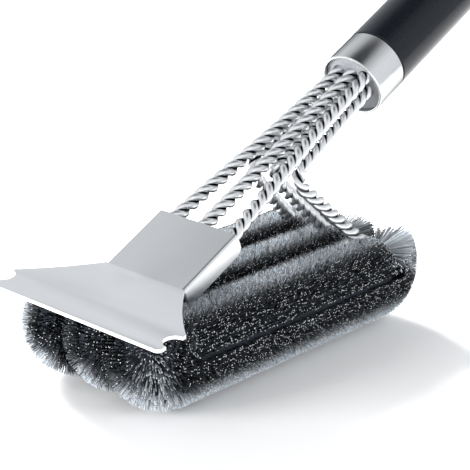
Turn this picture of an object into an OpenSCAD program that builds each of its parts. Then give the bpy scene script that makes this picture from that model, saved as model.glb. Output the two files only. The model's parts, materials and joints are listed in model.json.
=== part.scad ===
// Grill cleaning brush: three twisted-wire brush rows and a folded scraper on a long round handle.
// +X runs from the scraper to the handle, +Y across the rows and +Z up. The rows stand on Z = 0.

/* [Brush rows] */
// Radius of a bristle row
bristle_r = 17.6; // [15:0.1:19]
// Distance between the axes of neighbouring rows
row_pitch = 20.5; // [18:0.5:26]
// Distance from the fold of the scraper to the rear corner of the rows
rear_corner_x = 127.8; // [115:0.2:150]
// Turn before the front bend, in degrees, over which the bristles fan out
front_fan = 20; // [5:1:24]
// Turn of the rear bend, in degrees, that has bristles on it
rear_fan = 118; // [80:1:140]
// Turn from the top of a row to the main parting in its bristles, in degrees
parting_turn = 73; // [65:1:80]
// Turn between neighbouring partings, in degrees
parting_step = 30; // [26:1:36]
// Depth of a parting
parting_depth = 2.1; // [1:0.1:3]
// Width of a parting at the tips
parting_w = 2.8; // [1.5:0.1:3.5]
// Gap that keeps the bristles clear of the other pieces
bristle_gap = 0.3; // [0.2:0.05:0.6]

/* [Stems] */
// Diameter of one wire
wire_d = 2.6; // [2.2:0.1:2.6]
// Length of one full turn of the two wires
twist_l = 10.8; // [9:0.1:16]
// Radius of the stems' front bend
front_bend_r = 6; // [5:0.5:9]
// Radius of the stems' rear bend
rear_bend_r = 6; // [5:0.5:9]
// Radius of the elbow between a rear arm and the handle
elbow_r = 5; // [4.5:0.5:8]
// Rise of the rear arms, in degrees
rear_arm_tilt = 38.5; // [34:0.5:45]
// Distance of the outer elbows below the line of the front arms
elbow_drop = 5; // [5:0.05:6]
// Distance of the middle elbow below the line of its front arm
middle_elbow_drop = 5.3; // [5.3:0.05:6]
// Distance of an outer elbow from the middle plane
elbow_y = 11.4; // [11.4:0.1:14]
// Distance between neighbouring stems at the handle
mouth_pitch = 6.2; // [5.8:0.1:6.4]
// Distance from the fold to the place where the arms begin to run together
neck_s = 90; // [80:1:100]
// Distance between neighbouring stems there
neck_pitch = 8.4; // [8:0.1:9]
// Distance between neighbouring stems at the rear of the scraper
box_rear_pitch = 14.1; // [12:0.1:14.3]
// Distance of the upper stems above the handle axis
stem_up = 4.3; // [3.8:0.1:5]
// Distance of the lower stems below the handle axis
stem_down = 2; // [1.8:0.1:2.6]
// Length of stem inside the handle
stem_tail = 36; // [30:1:60]

/* [Scraper] */
// Thickness of the steel sheet
sheet_t = 1.3; // [1:0.1:1.6]
// Height of the fold above the ground
fold_h = 40.1; // [39:0.1:48]
// Width of the channel over the stems
box_w = 37.6; // [36.6:0.2:44]
// Length of the channel
box_l = 31; // [24:0.5:40]
// Depth of the channel's side flanges
flange_h = 8; // [7.9:0.1:10]
// Radius of the flanges' rear lower corners
flange_corner_r = 3; // [1:0.5:5]
// Length of the blade from the fold to its front edge
blade_l = 37.6; // [34:0.2:46]
// Width of the blade
blade_w = 81.6; // [72:0.2:96]
// Slope of the blade towards its front edge, in degrees
blade_drop = 7.2; // [3:0.1:10]
// Distance from the fold to the blade's shoulders
shoulder_l = 24.2; // [20:0.2:26]
// Inward bow of the blade's flared sides
flare_bow = 1; // [0:0.1:3]
// Radius of the rod-cleaning notches
notch_r = 4.1; // [3:0.1:5]
// Radius of the blade's front corners
tip_r = 2; // [1:0.1:3]
// Thickness of the clamp plate under the stems
clamp_t = 1.2; // [0.8:0.1:1.4]

/* [Handle] */
// Slope of the handle, in degrees
handle_tilt = 27; // [22:0.5:30]
// Distance from the scraper's channel to the handle
neck_l = 98.2; // [90:0.2:120]
// Diameter of the handle
handle_d = 28; // [27:0.5:34]
// Length of the ferrule
ferrule_l = 16.5; // [14:0.5:24]
// Wall of the ferrule and of the end cap
steel_wall = 1.1; // [0.8:0.1:1.5]
// Depth of the ferrule's mouth in front of the stem block
mouth_depth = 2; // [1.5:0.5:5]
// Thickness of the seam ring between ferrule and grip
seam_t = 0.6; // [0.4:0.1:1.5]
// Length of the grip
grip_l = 240; // [120:5:300]
// Diameter of the grip's bore
grip_bore = 22; // [21.4:0.1:22.4]
// Diameter of the block pin
block_pin_d = 3; // [2:0.1:3]

/* [Hanging loop] */
// Length of the end cap
cap_l = 18; // [14:0.5:26]
// Diameter of the loop's wire
loop_wire_d = 3; // [2.5:0.1:3.4]
// Inner width of the loop
loop_w = 23; // [18:0.5:26]
// Length of the loop from its pivot to its end, on the wire's centre
loop_l = 34; // [28:0.5:45]
// Distance from the end cap to the loop's pivot
pivot_out = 5; // [4.5:0.1:8]

/* [Fits] */
// Radial clearance of the loop's bar in the eye
pivot_clear = 0.08; // [0.05:0.01:0.1]
// Gap round a stem in the holes and plates that hold it
stem_clear = 0.15; // [0.1:0.05:0.3]
// Radial clearance of the parts that are pushed into each other
seat_clear = 0.1; // [0.05:0.05:0.2]

/* [Hidden] */
$fn = 64;

left = -1;
middle = 0;
right = 1;

// Stems
wire_sides = 5;
rings_per_turn = 5;
wire_section_r = 0.47 * wire_d;
wire_orbit = wire_d / 2 + 0.1; // clears the flat sides of the two sections
left_phase = 21;
middle_phase = 23;
right_phase = -11;
stem_r = wire_d;
stem_drop = sheet_t + stem_clear + stem_r;
axis_drop = stem_drop + stem_up;
mouth_s = box_l + neck_l;
lead_r = 25;
neck_r = 150;
box_front_pitch = box_w / 2 - sheet_t - stem_clear - stem_r;

// Row corners, where the straight lines of the arms meet the row axes
front_corner_s = (bristle_r - fold_h + stem_drop * cos(handle_tilt)) / sin(handle_tilt);
front_corner_x = front_corner_s * cos(handle_tilt) + stem_drop * sin(handle_tilt);
rear_corner_h = (bristle_r - fold_h) * cos(handle_tilt) - rear_corner_x * sin(handle_tilt);

function elbow_fall(side) = side == middle ? middle_elbow_drop : elbow_drop;

function rear_arm_l(side) =
    (-stem_drop - elbow_fall(side) - rear_corner_h) / sin(rear_arm_tilt + handle_tilt);

// Handle, measured from the mouth of the ferrule along the handle axis
handle_r = handle_d / 2;
spigot_r = handle_r - steel_wall - seat_clear;
bore_r = grip_bore / 2;
block_face = 2.8;
grip_start = ferrule_l + seam_t;
grip_end = grip_start + grip_l;
block_end = stem_tail - 4;
anchor_t = 2;
pin_s = mouth_depth + block_face + 5.5;
pin_low = stem_down + stem_r + stem_clear + block_pin_d / 2 + 0.8;
pin_l = 2 * sqrt(spigot_r * spigot_r - pow(pin_low + block_pin_d / 2, 2)) - 0.4;
spigot_l = grip_start - mouth_depth - block_face - seat_clear;
stem_hole_r = stem_r + stem_clear;
edge_round = 0.6;
hair = 0.05;

// Hanging loop
cap_end = grip_end + seam_t + cap_l;
cap_round = 3;
cap_spigot_l = 12;
plug_l = 20;
eye_r = 4;
eye_t = 5;
shank_r = 2;
pivot_s = cap_end + pivot_out;
loop_r = loop_w / 2 + loop_wire_d / 2;
loop_corner_r = 3;
// The loop hangs straight down from its pivot
loop_swing = 90 + handle_tilt;

// Overall length, which sets the origin under the middle of the brush
pivot_x = mouth_s * cos(handle_tilt) + axis_drop * sin(handle_tilt) + pivot_s * cos(handle_tilt);
max_x = pivot_x + eye_r;
min_x = -blade_l * cos(blade_drop);
middle_x = (max_x + min_x) / 2;

// ---------------------------------------------------------------- frames

// A point on the slope of the handle: s along it from the fold, h above the scraper's top face
function slope_point(s, y, h) = [
    s * cos(handle_tilt) - h * sin(handle_tilt),
    y,
    fold_h + s * sin(handle_tilt) + h * cos(handle_tilt)
];

module on_ground() {
    translate([-middle_x, 0, 0]) children();
}

// Local X runs up the slope from the fold and local Z stands on the scraper's top face
module on_slope() {
    on_ground() translate([0, 0, fold_h]) rotate([0, -handle_tilt, 0]) children();
}

// Local X runs along the handle axis from the mouth of the ferrule
module on_handle() {
    on_slope() translate([mouth_s, 0, -axis_drop]) children();
}

// Turns a revolved shape from the Z axis to the handle axis
module along_handle() {
    on_handle() rotate([0, 90, 0]) children();
}

// Places a flat shape, drawn in XY, with its X on e1, its Y on e2 and its origin at o
module in_plane(o, e1, e2) {
    e3 = cross(e1, e2);
    multmatrix([
        [e1[0], e2[0], e3[0], o[0]],
        [e1[1], e2[1], e3[1], o[1]],
        [e1[2], e2[2], e3[2], o[2]],
        [0, 0, 0, 1]
    ]) children();
}

// ---------------------------------------------------------------- stem paths

function unit(v) = v / norm(v);

// The corners of a stem, from the handle along the front arm, the row and the rear arm, and back
function stem_corners(side) = [
    slope_point(mouth_s + stem_tail, side * mouth_pitch, -stem_drop),
    slope_point(mouth_s, side * mouth_pitch, -stem_drop),
    slope_point(neck_s, side * neck_pitch, -stem_drop),
    slope_point(box_l, side * box_rear_pitch, -stem_drop),
    slope_point(0, side * box_front_pitch, -stem_drop),
    [front_corner_x, side * row_pitch, bristle_r],
    [rear_corner_x, side * row_pitch, bristle_r],
    [
        rear_corner_x - rear_arm_l(side) * cos(rear_arm_tilt),
        side * elbow_y,
        bristle_r + rear_arm_l(side) * sin(rear_arm_tilt)
    ],
    slope_point(mouth_s, side * mouth_pitch, -axis_drop - stem_down),
    slope_point(mouth_s + stem_tail, side * mouth_pitch, -axis_drop - stem_down)
];

stem_radii = [0, lead_r, neck_r, lead_r, lead_r, front_bend_r, rear_bend_r, elbow_r, lead_r, 0];
front_bend = 5;
rear_bend = 6;

// A bend of radius r at corner b: its centre, start direction, travel direction, angle and tangent length
function bend(a, b, c, r) =
    let (
        back = unit(a - b),
        ahead = unit(c - b),
        half = acos(max(-1, back * ahead)) / 2,
        reach = r / tan(half),
        centre = b + unit(back + ahead) * r / sin(half)
    )
    half > 89.99 ? [b, -back, -back, 0, 0]
    : [centre, unit(b + back * reach - centre), -back, 180 - 2 * half, reach];

function corner_bend(p, i) = bend(p[i - 1], p[i], p[i + 1], stem_radii[i]);

function reach_at(p, i) = i == 0 || i == len(p) - 1 ? 0 : corner_bend(p, i)[4];

// The straight leg after corner i: its length, straight or bent, start, direction
function leg(p, i) =
    let (way = unit(p[i + 1] - p[i]))
    [
        norm(p[i + 1] - p[i]) - reach_at(p, i) - reach_at(p, i + 1),
        false,
        p[i] + way * reach_at(p, i),
        way
    ];

// The bent stretch at corner i: its length, straight or bent, centre, start and travel directions, radius
function arc(p, i) =
    let (b = corner_bend(p, i))
    [b[3] * PI / 180 * stem_radii[i], true, b[0], b[1], b[2], stem_radii[i]];

// The stretches of a stem in order
function stretches(p) = [
    for (i = [0 : len(p) - 2])
        for (part = i == 0 ? [leg(p, 0)] : [arc(p, i), leg(p, i)]) part
];

function total(v, i = 0) = i == len(v) ? 0 : v[i][0] + total(v, i + 1);

// The point and direction at distance s along the stretches
function along(v, s, i = 0) =
    i < len(v) - 1 && s > v[i][0] ? along(v, s - v[i][0], i + 1)
    : v[i][1]
        ? let (turn = s / v[i][5] * 180 / PI)
          [
              v[i][2] + v[i][5] * (cos(turn) * v[i][3] + sin(turn) * v[i][4]),
              cos(turn) * v[i][4] - sin(turn) * v[i][3]
          ]
        : [v[i][2] + s * v[i][3], v[i][3]];

// The direction from the stem's axis to the wire at distance s
function wire_side(v, s, hand, phase) =
    let (
        way = along(v, s)[1],
        across = unit([0, 1, 0] - way[1] * way),
        up = cross(way, across),
        turn = hand * 360 * s / twist_l + phase
    )
    cos(turn) * across + sin(turn) * up;

function wire_point(v, s, hand, phase) =
    along(v, s)[0] + wire_orbit * wire_side(v, s, hand, phase);

// One ring of the wire's section, with a flat towards the other wire
function wire_ring(v, s, hand, phase) =
    let (
        centre = wire_point(v, s, hand, phase),
        out = wire_side(v, s, hand, phase),
        way = unit(wire_point(v, s + 0.1, hand, phase) - wire_point(v, s - 0.1, hand, phase)),
        x = unit(out - (out * way) * way),
        y = cross(way, x)
    )
    [
        for (i = [0 : wire_sides - 1])
            let (a = 180 + (i + 0.5) * 360 / wire_sides)
            centre + wire_section_r * (cos(a) * x + sin(a) * y)
    ];

// One wire of a twisted pair, swept along the whole stem
module stem_wire(side, hand, phase) {
    v = stretches(stem_corners(side));
    length = total(v);
    rings = round(length / twist_l * rings_per_turn);
    points = [
        for (i = [0 : rings]) each wire_ring(v, length * i / rings, hand, phase)
    ];
    n = wire_sides;
    // A ring turns by about one corner from the ring before it, so its corners are joined one further on
    walls = [
        for (i = [0 : rings - 1], j = [0 : n - 1])
            let (
                k = (j + 1) % n,
                a = i * n + j,
                b = i * n + k,
                c = (i + 1) * n + (j - hand + n) % n,
                d = (i + 1) * n + (k - hand + n) % n
            )
            each hand > 0 ? [[a, c, d], [a, d, b]] : [[a, c, b], [b, c, d]]
    ];
    first_end = [for (j = [0 : n - 1]) j];
    last_end = [for (j = [n - 1 : -1 : 0]) rings * n + j];
    on_ground() polyhedron(points, concat([first_end], walls, [last_end]), convexity = 10);
}

// ---------------------------------------------------------------- bristles

// A round bar from a to b
module bar(a, b, r) {
    way = unit(b - a);
    across = unit([0, 1, 0] - way[1] * way);
    in_plane(a, across, cross(way, across)) cylinder(h = norm(b - a), r = r);
}

// The part of a bend's section that lies outside the bend's centre; X is outwards
module outside(bend_r, r) {
    intersection() {
        translate([bend_r, 0]) children();
        translate([0, -r - 1]) square([bend_r + r + 1, 2 * r + 2]);
    }
}

// A section swept round corner i of a stem, from one angle of the bend to another
module swept(corners, i, r, from, to) {
    b = corner_bend(corners, i);
    in_plane(b[0], b[1], b[2]) rotate([0, 0, from])
        rotate_extrude(angle = to - from) outside(stem_radii[i], r) children();
}

function bend_start(corners, i) = let (b = corner_bend(corners, i)) b[0] + stem_radii[i] * b[1];

function bend_end(corners, i) =
    let (b = corner_bend(corners, i))
    b[0] + stem_radii[i] * (cos(b[3]) * b[1] + sin(b[3]) * b[2]);

// The lengthwise partings in a section of radius r, the same on both flanks
module partings(r, inset) {
    half = parting_w / 2 + inset;
    over = half * (1 + 1 / parting_depth);
    for (flank = [-1, 1], turn = [parting_turn - 2 * parting_step : parting_step : 172])
        rotate([0, 0, flank * turn])
            polygon([[0, r - parting_depth], [over, r + 1], [-over, r + 1]]);
}

// The section of a row, cut off halfway to each neighbouring row; X is across and Y is up
module row_section(side, inset) {
    r = bristle_r - inset;
    half = (row_pitch - bristle_gap) / 2 - inset;
    low = side == left ? -r - 1 : -half;
    high = side == right ? r + 1 : half;
    intersection() {
        difference() {
            circle(r = r);
            partings(r, inset);
        }
        translate([low, -r - 1]) square([high - low, 2 * r + 2]);
    }
}

// The space that the bristle tips of one row reach; the bends lie a hair inside the straight part
module bristle_reach(side) {
    corners = stem_corners(middle);
    start = bend_end(corners, front_bend);
    end = bend_start(corners, rear_bend);
    front_turn = corner_bend(corners, front_bend)[3];
    translate([0, side * row_pitch, 0]) {
        swept(corners, front_bend, bristle_r, -front_fan, front_turn + 1)
            mirror([1, 0]) rotate([0, 0, -90]) row_section(side, hair);
        translate(start) rotate([90, 0, 90]) linear_extrude(end[0] - start[0]) row_section(side, 0);
        swept(corners, rear_bend, bristle_r, -1, rear_fan)
            mirror([1, 0]) rotate([0, 0, -90]) row_section(side, hair);
    }
}

// The tunnel that the stem fills
module stem_tunnel(corners) {
    r = stem_r + bristle_gap;
    fold = corners[front_bend - 1];
    elbow = corners[rear_bend + 1];
    arm = unit(fold - corners[front_bend]);
    rear_arm = unit(elbow - corners[rear_bend]);
    bar(fold, bend_start(corners, front_bend) - 0.4 * arm, r);
    swept(corners, front_bend, r, 0, corner_bend(corners, front_bend)[3]) circle(r = r + hair);
    bar(bend_end(corners, front_bend) - [0.4, 0, 0], bend_start(corners, rear_bend) + [0.4, 0, 0], r);
    swept(corners, rear_bend, r, 0, corner_bend(corners, rear_bend)[3]) circle(r = r + hair);
    bar(bend_end(corners, rear_bend) - 0.4 * rear_arm, elbow, r);
}

// All that lies above the underside of the scraper
module scraper_side() {
    wide = 2 * blade_w;
    under = sheet_t + bristle_gap;
    translate([0, 0, fold_h]) {
        rotate([0, -blade_drop, 0])
            translate([-2 * blade_l, -wide / 2, -under]) cube([2 * blade_l, wide, wide]);
        rotate([0, -handle_tilt, 0])
            translate([-bristle_gap, -wide / 2, -flange_h - bristle_gap])
                cube([box_l + 2 * bristle_gap, wide, wide]);
    }
}

module bristles(side) {
    on_ground() difference() {
        bristle_reach(side);
        scraper_side();
        stem_tunnel(stem_corners(side));
    }
}

// ---------------------------------------------------------------- scraper

// Half of the blade's outline, from the fold to the middle of the front edge; X is forward
module blade_half() {
    half = blade_w / 2;
    root = box_w / 2;
    dx = shoulder_l;
    dy = half - root;
    side_l = norm([dx, dy]);
    flare = [
        for (i = [0 : 8])
            let (f = i / 8)
            [dx * f, root + dy * f] + 4 * f * (1 - f) * flare_bow * [dy, -dx] / side_l
    ];
    notch_x = (shoulder_l + blade_l) / 2 - 1;
    difference() {
        union() {
            polygon(concat([[0, 0]], flare, [[shoulder_l + 1.2, half], [blade_l - tip_r, half],
                [blade_l - tip_r, 0]]));
            translate([blade_l - 2 * tip_r, 0]) square([2 * tip_r, half - tip_r]);
            translate([blade_l - tip_r, half - tip_r]) circle(r = tip_r);
        }
        translate([notch_x, half]) circle(r = notch_r);
    }
}

module blade_outline() {
    blade_half();
    mirror([0, 1]) blade_half();
}

// Cross-section of the channel: X is across the brush and Y stands on its top face
module channel_section() {
    bend_out = sheet_t;
    half = box_w / 2;
    difference() {
        union() {
            translate([-half, -flange_h]) square([box_w, flange_h - bend_out]);
            translate([-half + bend_out, -bend_out - 0.5]) square([box_w - 2 * bend_out, bend_out + 0.5]);
            for (side = [-1, 1]) translate([side * (half - bend_out), -bend_out]) circle(r = bend_out);
        }
        translate([-half + sheet_t, -flange_h - 1]) square([box_w - 2 * sheet_t, flange_h + 1 - sheet_t]);
    }
}

module channel() {
    r = flange_corner_r;
    difference() {
        rotate([90, 0, 90]) linear_extrude(box_l) channel_section();
        // Rounded rear lower corners of the flanges
        translate([box_l, 0, -flange_h]) rotate([90, 0, 0])
            translate([0, 0, -box_w]) linear_extrude(2 * box_w) difference() {
                translate([-r, -1]) square([r + 1, r + 1]);
                translate([-r, r]) circle(r = r);
            }
    }
}

module scraper() {
    color("gainsboro") union() {
        on_slope() channel();
        on_ground() translate([0, 0, fold_h]) {
            // Blade, on the other side of the fold
            rotate([0, -blade_drop, 0]) rotate([0, 0, 180])
                translate([0, 0, -sheet_t]) linear_extrude(sheet_t) blade_outline();
            // Outside of the fold
            rotate([0, 90 - blade_drop, 0]) rotate([90, 0, 0]) translate([0, 0, -box_w / 2])
                rotate_extrude(angle = handle_tilt - blade_drop) square([sheet_t, box_w]);
        }
    }
}

// Plate that closes the channel under the stems
module clamp_plate() {
    side_gap = seat_clear / 2;
    half = box_w / 2 - sheet_t - side_gap;
    top = -stem_drop - stem_r - stem_clear;
    color("silver") on_slope() difference() {
        translate([1, -half, top - clamp_t]) cube([box_l - 2, 2 * half, clamp_t]);
    }
}

// ---------------------------------------------------------------- handle, front

module at_stems() {
    for (side = [left, middle, right], h = [stem_up, -stem_down])
        translate([0, side * mouth_pitch, h]) rotate([0, 90, 0]) children();
}

module ferrule() {
    inner = handle_r - steel_wall;
    color("lightgray") along_handle() rotate_extrude() union() {
        translate([inner, edge_round]) square([steel_wall, ferrule_l - edge_round]);
        translate([inner, 0]) square([steel_wall - edge_round, edge_round]);
        translate([handle_r - edge_round, edge_round]) circle(r = edge_round, $fn = 32);
    }
}

module stem_block() {
    color("slategray") on_handle() difference() {
        rotate([0, 90, 0]) rotate_extrude() polygon([
            [0, mouth_depth], [spigot_r, mouth_depth], [spigot_r, mouth_depth + block_face],
            [bore_r - seat_clear, mouth_depth + block_face], [bore_r - seat_clear, block_end],
            [0, block_end]
        ]);
        at_stems() cylinder(h = stem_tail, r = stem_hole_r);
        translate([pin_s, 0, -pin_low]) rotate([90, 0, 0])
            cylinder(h = handle_d, r = block_pin_d / 2 + seat_clear / 2, center = true);
    }
}

// Steel plate that the ends of the stems are welded to
module anchor_plate() {
    color("darkgray") on_handle() difference() {
        translate([block_end + seat_clear, 0, 0]) rotate([0, 90, 0])
            cylinder(h = anchor_t, r = bore_r - seat_clear);
        at_stems() cylinder(h = stem_tail + 1, r = stem_hole_r);
    }
}

module block_pin() {
    color("silver") on_handle() translate([pin_s, 0, -pin_low]) rotate([90, 0, 0])
        cylinder(h = pin_l, r = block_pin_d / 2, center = true);
}

module seam_ring() {
    color("black") along_handle() difference() {
        translate([0, 0, ferrule_l]) cylinder(h = seam_t, r = handle_r - 0.4);
        translate([0, 0, ferrule_l - 1]) cylinder(h = seam_t + 2, r = spigot_r + seat_clear);
    }
}

module grip() {
    e = edge_round;
    color([0.08, 0.08, 0.09]) difference() {
        along_handle() rotate_extrude() polygon([
            [bore_r, grip_start - spigot_l], [spigot_r, grip_start - spigot_l], [spigot_r, grip_start],
            [handle_r - e, grip_start], [handle_r, grip_start + e],
            [handle_r, grip_end - e], [handle_r - e, grip_end],
            [spigot_r, grip_end], [spigot_r, grip_end + cap_spigot_l], [bore_r, grip_end + cap_spigot_l]
        ]);
        on_handle() translate([pin_s, 0, -pin_low]) rotate([90, 0, 0])
            cylinder(h = handle_d, r = block_pin_d / 2 + seat_clear / 2, center = true);
    }
}

// ---------------------------------------------------------------- handle, rear

module end_cap() {
    inner = handle_r - steel_wall;
    color("lightgray") along_handle() difference() {
        union() {
            translate([0, 0, grip_end + seam_t]) cylinder(h = cap_l - cap_round, r = handle_r);
            translate([0, 0, cap_end - cap_round]) rotate_extrude() union() {
                square([handle_r - cap_round, cap_round]);
                intersection() {
                    translate([handle_r - cap_round, 0]) circle(r = cap_round);
                    translate([handle_r - cap_round, 0]) square(cap_round + 1);
                }
            }
        }
        translate([0, 0, grip_end]) cylinder(h = seam_t + cap_l - cap_round, r = inner);
        cylinder(h = pivot_s, r = shank_r + seat_clear);
    }
}

module end_plug() {
    face = cap_end - cap_round;
    color("slategray") along_handle() difference() {
        union() {
            translate([0, 0, face - plug_l]) cylinder(h = plug_l - seat_clear, r = bore_r - seat_clear);
            translate([0, 0, grip_end + cap_spigot_l + seat_clear])
                cylinder(h = face - seat_clear * 2 - grip_end - cap_spigot_l, r = spigot_r);
        }
        cylinder(h = pivot_s, r = shank_r + seat_clear);
    }
}

// Eye with a threaded shank, through the end cap and the plug
module hang_eye() {
    collar_t = 1.5;
    color("silver") on_handle() difference() {
        union() {
            rotate([0, 90, 0]) {
                translate([0, 0, cap_end - cap_round - plug_l - 5])
                    cylinder(h = plug_l + cap_round + 5 + collar_t / 2, r = shank_r);
                translate([0, 0, cap_end + 0.05]) cylinder(h = collar_t - 0.05, r = eye_r + 1);
            }
            translate([cap_end + collar_t / 2, -eye_t / 2, -eye_r])
                cube([pivot_out - collar_t / 2, eye_t, 2 * eye_r]);
            translate([pivot_s, 0, 0]) rotate([90, 0, 0]) cylinder(h = eye_t, r = eye_r, center = true);
        }
        translate([pivot_s, 0, 0]) rotate([90, 0, 0])
            cylinder(h = 2 * eye_t, r = loop_wire_d / 2 + pivot_clear, center = true);
    }
}

module eye_nut() {
    nut_t = 3.2;
    color("silver") along_handle() translate([0, 0, cap_end - cap_round - plug_l - nut_t - seat_clear])
        difference() {
            cylinder(h = nut_t, r = 4, $fn = 6);
            translate([0, 0, -1]) cylinder(h = nut_t + 2, r = shank_r + 0.05);
        }
}

// A quarter or half ring of the loop's wire
module loop_arc(r, angle) {
    rotate_extrude(angle = angle) translate([r, 0]) circle(r = loop_wire_d / 2, $fn = 32);
}

// The loop lies in local XY, with its bar on the pivot and its end towards X
module loop_shape() {
    c = loop_corner_r;
    leg_end = loop_l - loop_r;
    wire_r = loop_wire_d / 2;
    rotate([90, 0, 0]) cylinder(h = 2 * (loop_r - c), r = wire_r, center = true);
    for (side = [0, 1]) mirror([0, side]) {
        translate([c, loop_r - c]) rotate([0, 0, 90]) loop_arc(c, 90);
        translate([c, loop_r]) rotate([0, 90, 0]) cylinder(h = leg_end - c, r = wire_r);
    }
    translate([leg_end, 0]) rotate([0, 0, -90]) loop_arc(loop_r, 180);
}

module hang_loop() {
    color("silver") on_handle() translate([pivot_s, 0, 0]) rotate([0, loop_swing, 0]) loop_shape();
}

// ---------------------------------------------------------------- parts

// The outer stems are twisted opposite ways
module left_stem_wire_a() { color("silver") stem_wire(left, -1, left_phase); }
module left_stem_wire_b() { color("silver") stem_wire(left, -1, left_phase + 180); }
module middle_stem_wire_a() { color("silver") stem_wire(middle, 1, middle_phase); }
module middle_stem_wire_b() { color("silver") stem_wire(middle, 1, middle_phase + 180); }
module right_stem_wire_a() { color("silver") stem_wire(right, 1, right_phase); }
module right_stem_wire_b() { color("silver") stem_wire(right, 1, right_phase + 180); }
module left_bristles() { color("dimgray") bristles(left); }
module middle_bristles() { color("dimgray") bristles(middle); }
module right_bristles() { color("dimgray") bristles(right); }

scraper();
clamp_plate();
left_stem_wire_a();
left_stem_wire_b();
middle_stem_wire_a();
middle_stem_wire_b();
right_stem_wire_a();
right_stem_wire_b();
left_bristles();
middle_bristles();
right_bristles();
ferrule();
stem_block();
anchor_plate();
block_pin();
seam_ring();
grip();
end_cap();
end_plug();
hang_eye();
eye_nut();
hang_loop();
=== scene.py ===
"""A grill cleaning brush: twisted stems with three bristle rows, a folded scraper and a round handle.

Every class holds the sizes of one sub-assembly in millimetres and builds its pieces in the row frame.
"""

import json
import logging
import math
from dataclasses import dataclass
from enum import Enum
from typing import Sequence

import bmesh
import bpy
import numpy as np
from mathutils import Matrix, Vector

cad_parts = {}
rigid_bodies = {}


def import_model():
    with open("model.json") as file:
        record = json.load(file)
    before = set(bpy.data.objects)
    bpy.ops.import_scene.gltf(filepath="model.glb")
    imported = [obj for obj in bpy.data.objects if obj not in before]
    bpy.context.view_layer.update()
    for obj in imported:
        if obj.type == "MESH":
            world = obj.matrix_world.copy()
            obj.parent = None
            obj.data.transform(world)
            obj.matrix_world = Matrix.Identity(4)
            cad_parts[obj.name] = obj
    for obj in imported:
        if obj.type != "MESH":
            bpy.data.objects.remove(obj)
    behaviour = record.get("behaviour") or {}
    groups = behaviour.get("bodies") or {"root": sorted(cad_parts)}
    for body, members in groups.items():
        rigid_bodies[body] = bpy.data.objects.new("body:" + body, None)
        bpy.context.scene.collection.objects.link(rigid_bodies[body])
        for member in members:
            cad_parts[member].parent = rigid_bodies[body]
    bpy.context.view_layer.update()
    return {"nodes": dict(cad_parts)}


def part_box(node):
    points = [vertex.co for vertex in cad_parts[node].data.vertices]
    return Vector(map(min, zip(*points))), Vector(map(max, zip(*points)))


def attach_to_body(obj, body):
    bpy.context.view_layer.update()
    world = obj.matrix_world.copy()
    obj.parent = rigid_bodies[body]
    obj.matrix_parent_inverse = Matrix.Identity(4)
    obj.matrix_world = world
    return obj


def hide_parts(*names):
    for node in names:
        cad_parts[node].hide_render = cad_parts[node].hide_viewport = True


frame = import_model()
LOG = logging.getLogger("grill_brush")
MM = 0.001
BRUSH = "brush"
LOOP = "loop"
MERGE = 2e-6
ALMOST_STRAIGHT = math.radians(89.99)


class Row(Enum):
    """The three stems, by the side that they lie on."""

    LEFT = -1
    MIDDLE = 0
    RIGHT = 1


class Twist(Enum):
    """The direction in which the two wires of a stem are twisted."""

    RIGHT_HAND = 1
    LEFT_HAND = -1


# ---------------------------------------------------------------------------------------------- frame


def unit(v: np.ndarray) -> np.ndarray:
    """Returns the vectors in the last axis of v at length one."""
    return v / np.linalg.norm(v, axis=-1, keepdims=True)


def ease(value: np.ndarray, start: float, width: float) -> np.ndarray:
    """Rises from 0 at start to 1 one width further on."""
    return np.clip((value - start) / width, 0, 1)


def attach(obj: bpy.types.Object, name: str, values: np.ndarray) -> None:
    """Gives each corner of a mesh a number that its material reads by name."""
    attribute = obj.data.attributes.new(name, "FLOAT", "POINT")
    attribute.data.foreach_set("value", values.ravel().astype(np.float32))


def cross_section(way: np.ndarray) -> tuple[np.ndarray, np.ndarray]:
    """Returns the directions across a stem and up from it, for each direction along it."""
    across = unit(np.array([0, 1.0, 0]) - way[:, 1:2] * way)
    return across, np.cross(way, across)


@dataclass(frozen=True)
class Layout:
    """Where the brush lies in the row frame, and the sizes that several sub-assemblies share."""

    handle_tilt: float = math.radians(27)
    blade_drop: float = math.radians(7.2)
    blade_length: float = 37.6
    fold_height: float = 40.1
    channel_length: float = 31.0
    neck_length: float = 98.2
    stem_drop: float = 4.05
    stem_up: float = 4.3
    stem_down: float = 2.0

    @property
    def fold_x(self) -> float:
        """The row frame's X of the scraper's fold, in millimetres."""
        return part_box("scraper")[0].x / MM + self.blade_length * math.cos(self.blade_drop)

    @property
    def mouth(self) -> float:
        """Distance from the fold to the handle's mouth along the slope."""
        return self.channel_length + self.neck_length

    @property
    def axis_drop(self) -> float:
        """Depth of the handle's axis below the scraper's top face."""
        return self.stem_drop + self.stem_up

    def slope_point(self, s: float, y: float, h: float) -> np.ndarray:
        """Gives a point on the slope of the handle.

        Args:
            s: Distance up the slope from the fold.
            y: Distance across the brush.
            h: Height above the scraper's top face.

        Returns:
            The point, with the fold at X = 0.
        """
        c, n = math.cos(self.handle_tilt), math.sin(self.handle_tilt)
        return np.array([s * c - h * n, y, self.fold_height + s * n + h * c])

    def to_frame(self, points: np.ndarray) -> np.ndarray:
        """Moves points with the fold at X = 0, in millimetres, to the row frame in metres."""
        return (np.asarray(points, float) + [self.fold_x, 0, 0]) * MM

    def handle_matrix(self) -> Matrix:
        """The row frame's matrix for local millimetres with X along the handle from its mouth."""
        origin = self.to_frame(self.slope_point(self.mouth, 0, -self.axis_drop))
        turn = Matrix.Rotation(-self.handle_tilt, 4, "Y")
        return Matrix.Translation(Vector(origin)) @ turn @ Matrix.Scale(MM, 4)


LAYOUT = Layout()


# ------------------------------------------------------------------------------------------- modelling


def deselect_all() -> None:
    """Leaves object mode with nothing selected."""
    if bpy.context.object is not None and bpy.context.object.mode != "OBJECT":
        bpy.ops.object.mode_set(mode="OBJECT")
    for obj in bpy.context.view_layer.objects:
        obj.select_set(False)


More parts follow.
